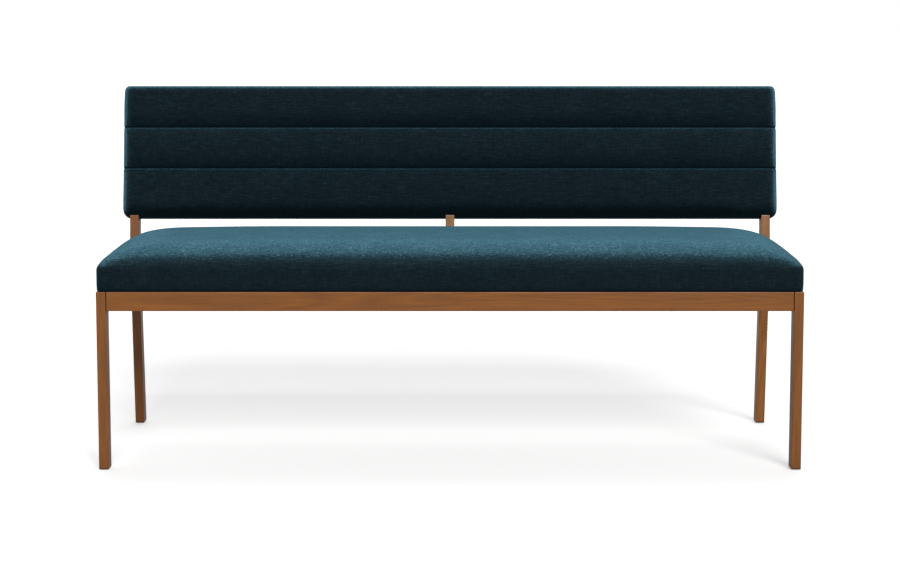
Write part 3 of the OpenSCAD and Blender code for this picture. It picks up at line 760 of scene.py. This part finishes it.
def back_loop(inset, edge):
    """One loop of the back cushion as (y, z, seam depth), at an inset from its front and from its end."""
    y0 = -BACK_PROUD + inset
    y1 = HEM_Y - corner_inset(edge, TOP_CORNER_R) * 0.4
    z0 = BACK_LIFT - BACK_SWELL + corner_inset(edge, LOW_CORNER_R)
    z1 = BACK_TOP + BACK_SWELL - corner_inset(edge, TOP_CORNER_R)
    keep = 1 - 0.6 * inset / END_EDGE_R
    low_r = LOW_EDGE_R * keep
    low_h = LOW_EDGE_H * keep
    top_r = TOP_EDGE_R * keep
    r = HEM_EDGE_R
    low = arc(y0 + low_r, z0 + low_h, low_r, 180, LOW_EDGE_STEPS, low_h)
    low_rear = arc(y1 - r, z0 + r, r, 270, HEM_STEPS)
    top_rear = arc(y1 - r, z1 - r, r, 0, HEM_STEPS)
    top = arc(y0 + top_r, z1 - top_r, top_r, 90, TOP_EDGE_STEPS)
    path = low + between(low[-1], low_rear[0], UNDER_STEPS) + low_rear
    path += between(low_rear[-1], top_rear[0], REAR_STEPS) + top_rear
    path += between(top_rear[-1], top[0], OVER_STEPS) + top
    points = [(y, z, 0.0) for y, z in path]

    # The rows of the front keep to the seams, and close up above and below them where the loop is smaller
    start = z1 - top_r
    end = z0 + low_h
    base_start, base_end = FRONT_ROWS[0], FRONT_ROWS[-1]
    for z in FRONT_ROWS[1:-1]:
        if z > UPPER_SEAM:
            place = start + (z - base_start) / (UPPER_SEAM - base_start) * (UPPER_SEAM - start)
        elif z < LOWER_SEAM:
            place = LOWER_SEAM + (z - LOWER_SEAM) / (base_end - LOWER_SEAM) * (end - LOWER_SEAM)
        else:
            place = z
        points.append((y0, place, seam_share(z)))
    return points


def flare(z):
    """How much wider the back is at a height: it draws in at the top, and spreads towards its lower edge."""
    spread = min(1.0, max(0.0, (UPPER_SEAM - z) / (UPPER_SEAM - BACK_LIFT - LOW_EDGE_R)))
    drawn = max(0.0, (z - BACK_TOP + TOP_TAPER_H) / TOP_TAPER_H)
    return SIDE_SWELL + LOW_FLARE * spread ** 1.5 - TOP_TAPER * drawn ** 1.6


def nick(z):
    """How far a seam draws the ends of the back in."""
    return SEAM_NICK * math.exp(-(from_seam(z) / SEAM_SHADE_W) ** 2)


def end_loops(side):
    """The loops round one end of the back, from its flat end to its full section."""
    loops = []
    for i in range(END_STEPS + 1):
        t = math.pi / 2 * i / END_STEPS
        edge = END_EDGE_R * (1 - math.cos(t))
        loop = back_loop(END_EDGE_R * (1 - math.sin(t)), edge)
        x = BACK_X - edge
        loops.append([(side * (x + flare(z) - nick(z) * math.cos(t)), y + s * math.sin(t), z)
                      for y, z, s in loop])
    return loops


def close_end(verts, faces, base, n):
    """Closes one end of the back with three smaller and smaller loops that meet in a line."""
    rim = verts[base:base + n]
    mid_y = (min(p[1] for p in rim) + max(p[1] for p in rim)) / 2
    low_z = min(p[2] for p in rim) + 0.011
    high_z = max(p[2] for p in rim) - 0.011
    previous = list(range(base, base + n))
    for t in (0.35, 0.7, 1.0):
        current = list(range(len(verts), len(verts) + n))
        for p in rim:
            z = min(max(p[2], low_z), high_z)
            verts.append((p[0], p[1] + t * (mid_y - p[1]), p[2] + t * (z - p[2])))
        for i in range(n):
            j = (i + 1) % n
            faces.append((previous[i], previous[j], current[j], current[i]))
        previous = current


def seam_shade(place):
    """How much painted shade each point gets: at the seams, and below the lower one."""
    z = place[:, 2]
    near = np.where(place[:, 1] < HEM_Y - 0.004, from_seam(z), 1.0)
    below = LOWER_SEAM - z
    under = LOW_SHADE * np.exp(-(below / LOW_SHADE_H) ** 2) + LOW_SHADE_WIDE * np.exp(-(below / LOW_SHADE_WIDE_H) ** 2)
    under = np.where(below > 0, under, 0.0)
    return np.maximum(SEAM_SHADE * np.exp(-(near / SEAM_SHADE_W) ** 2), under).astype(np.float32)


def back_cushion():
    """The front cover of the back, with three level channels whose seams run round the ends."""
    left = end_loops(-1)
    inner = BACK_X - END_EDGE_R
    count = round(2 * inner / COLUMN_STEP)
    middle = [[(-inner + 2 * inner * i / count, p[1], p[2]) for p in left[-1]] for i in range(1, count)]
    loops = left + middle + end_loops(1)[::-1]
    n = len(loops[0])
    verts = [p for loop in loops for p in loop]
    faces = bridge(len(loops), n, turned=True)
    close_end(verts, faces, 0, n)
    close_end(verts, faces, (len(loops) - 1) * n, n)
    back = make_object("back_cushion", verts, faces)
    clean(back, 2e-5)
    co = coords(back.data)
    held = (from_seam(co[:, 2]) < 0.0004) & (co[:, 1] < HEM_Y - 0.003) | (co[:, 1] > HEM_Y - 0.002)
    inflate(back, held, BACK_PUFF, stiffness=40.0, bending=2.0)
    place = coords(back.data)
    # The painted shade of the seams is kept on the points
    sewn = back.data.attributes.new("sewn", "FLOAT", "POINT")
    sewn.data.foreach_set("value", seam_shade(place))
    set_coords(back.data, on_posts(place))
    subdivide(back)
    back.data.materials.append(back_fabric)
    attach(back, "root")
    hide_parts("back_cover", "back_foam")
    return back


PANEL_SET_IN = 0.0032
PANEL_CORNER_R = 0.006
PANEL_EDGE = 0.0018
PANEL_CORNER_STEPS = 6


def panel_outline(shrink, y):
    """The outline of the rear panel at a depth, drawn in on all sides."""
    x = BACK_X - PANEL_SET_IN - shrink
    low = BACK_LIFT + PANEL_SET_IN + shrink
    high = BACK_TOP - PANEL_SET_IN - shrink
    r = max(PANEL_CORNER_R - shrink, 0.001)
    points = []
    for corner in range(4):
        cx = x - r if corner in (0, 3) else r - x
        cz = high - r if corner < 2 else low + r
        for i in range(PANEL_CORNER_STEPS + 1):
            a = math.radians(90 * corner + 90 * i / PANEL_CORNER_STEPS)
            points.append((cx + r * math.cos(a), y, cz + r * math.sin(a)))
    return points


def rear_panel():
    """The flat closing panel of the back, with the fabric wrapped over its edges."""
    y0 = HEM_Y + 0.0003
    y1 = REAR_FACE
    edge = PANEL_EDGE
    loops = [panel_outline(edge, y0), panel_outline(edge * 0.3, y0 + edge * 0.5)]
    loops.append(panel_outline(0, (y0 + y1) / 2))
    for i in range(1, 4):
        t = math.radians(30 * i)
        loops.append(panel_outline(edge * (1 - math.cos(t)), y1 - edge * (1 - math.sin(t))))
    loops += [panel_outline(shrink, y1) for shrink in (0.012, 0.03)]
    n = len(loops[0])
    verts = [p for loop in loops for p in loop]
    faces = bridge(len(loops), n)
    faces.append(tuple(range((len(loops) - 1) * n, len(loops) * n)))
    faces.append(tuple(reversed(range(n))))
    panel = make_object("back_rear_panel", verts, faces)
    clean(panel)
    set_coords(panel.data, on_posts(coords(panel.data)))
    panel.data.materials.append(back_fabric)
    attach(panel, "root")
    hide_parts("back_outer_cover", "back_outer_board")
    return panel


# The floor's glow for the camera and its grey for all other rays, and the room's two dim sides
FLOOR_GLOW = 0.385
FLOOR_GREY = 0.6
DIM_FRONT = 0.30
DIM_OVERHEAD = 0.31


def studio_floor():
    """White floor: it keeps the shadow, and the rest of it shows as white to the camera."""
    floor = make_object("studio_floor", [(-200, -20, 0), (200, -20, 0), (200, 400, 0), (-200, 400, 0)],
                        [(0, 1, 2, 3)])
    n = Nodes(bpy.data.materials.new("studio_floor"))
    both = n.add("ShaderNodeAddShader")
    n.link(n.simple("ShaderNodeBsdfDiffuse", 1), both.inputs[0])
    n.link(n.simple("ShaderNodeEmission", 1, FLOOR_GLOW), both.inputs[1])
    n.seen(n.simple("ShaderNodeBsdfDiffuse", FLOOR_GREY), both.outputs[0])
    floor.data.materials.append(n.owner)


def studio_world():
    """The room is bright behind the bench and at its sides, and dim in front of it and overhead."""
    world = bpy.data.worlds.new("studio_world")
    bpy.context.scene.world = world
    n = Nodes(world)
    _, ray_y, ray_z = n.split(n.coord)
    behind = n.spread(ray_y, -0.6, 0.6, DIM_FRONT, 1.0, smooth=True)
    overhead = n.spread(ray_z, 0.15, 0.75, 1.0, DIM_OVERHEAD, smooth=True)
    room = n.simple("ShaderNodeBackground", 1, n.math("MULTIPLY", behind, overhead))
    n.seen(room, n.simple("ShaderNodeBackground", 1, 1.0))


def sun_lamp(name, toward, strength, angle):
    """A soft sun that shines from a direction, at a level at which colours render about as written."""
    direction = Vector(toward).normalized()
    sun = bpy.data.lights.new(name, "SUN")
    sun.energy = strength * math.pi
    sun.angle = math.radians(angle)
    lamp = bpy.data.objects.new(name, sun)
    bpy.context.scene.collection.objects.link(lamp)
    lamp.location = direction * 5
    lamp.rotation_mode = "QUATERNION"
    lamp.rotation_quaternion = direction.to_track_quat("Z", "Y")


# The photograph's camera: focal length in pixels of its width, distance from the front legs, height and tilt
FOCAL_PX = 2174
PHOTO_PX = 900
CAMERA_BACK = 4.639
CAMERA_H = 0.9697
CAMERA_TILT = 6.913


def photo_camera():
    """The camera that the photograph was taken with, as fitted to it."""
    camera = bpy.data.cameras.new("photo_camera")
    camera.sensor_width = 36
    camera.lens = FOCAL_PX * 36 / PHOTO_PX
    camera.clip_start = 0.1
    camera.clip_end = 200
    eye = bpy.data.objects.new("photo_camera", camera)
    bpy.context.scene.collection.objects.link(eye)
    eye.location = (0, FRONT_Y - CAMERA_BACK, CAMERA_H)
    eye.rotation_euler = (math.radians(90 - CAMERA_TILT), 0, 0)
    bpy.context.scene.camera = eye


dress_nodes()
seat_cushion()
back_cushion()
rear_panel()
studio_floor()
studio_world()
sun_lamp("key_light", (0.34, -1.55, 1.0), 0.69, 29)
sun_lamp("rear_light", (0.0, 0.47, 1.0), 0.15, 28)
photo_camera()
bpy.context.scene.view_settings.view_transform = "Standard"
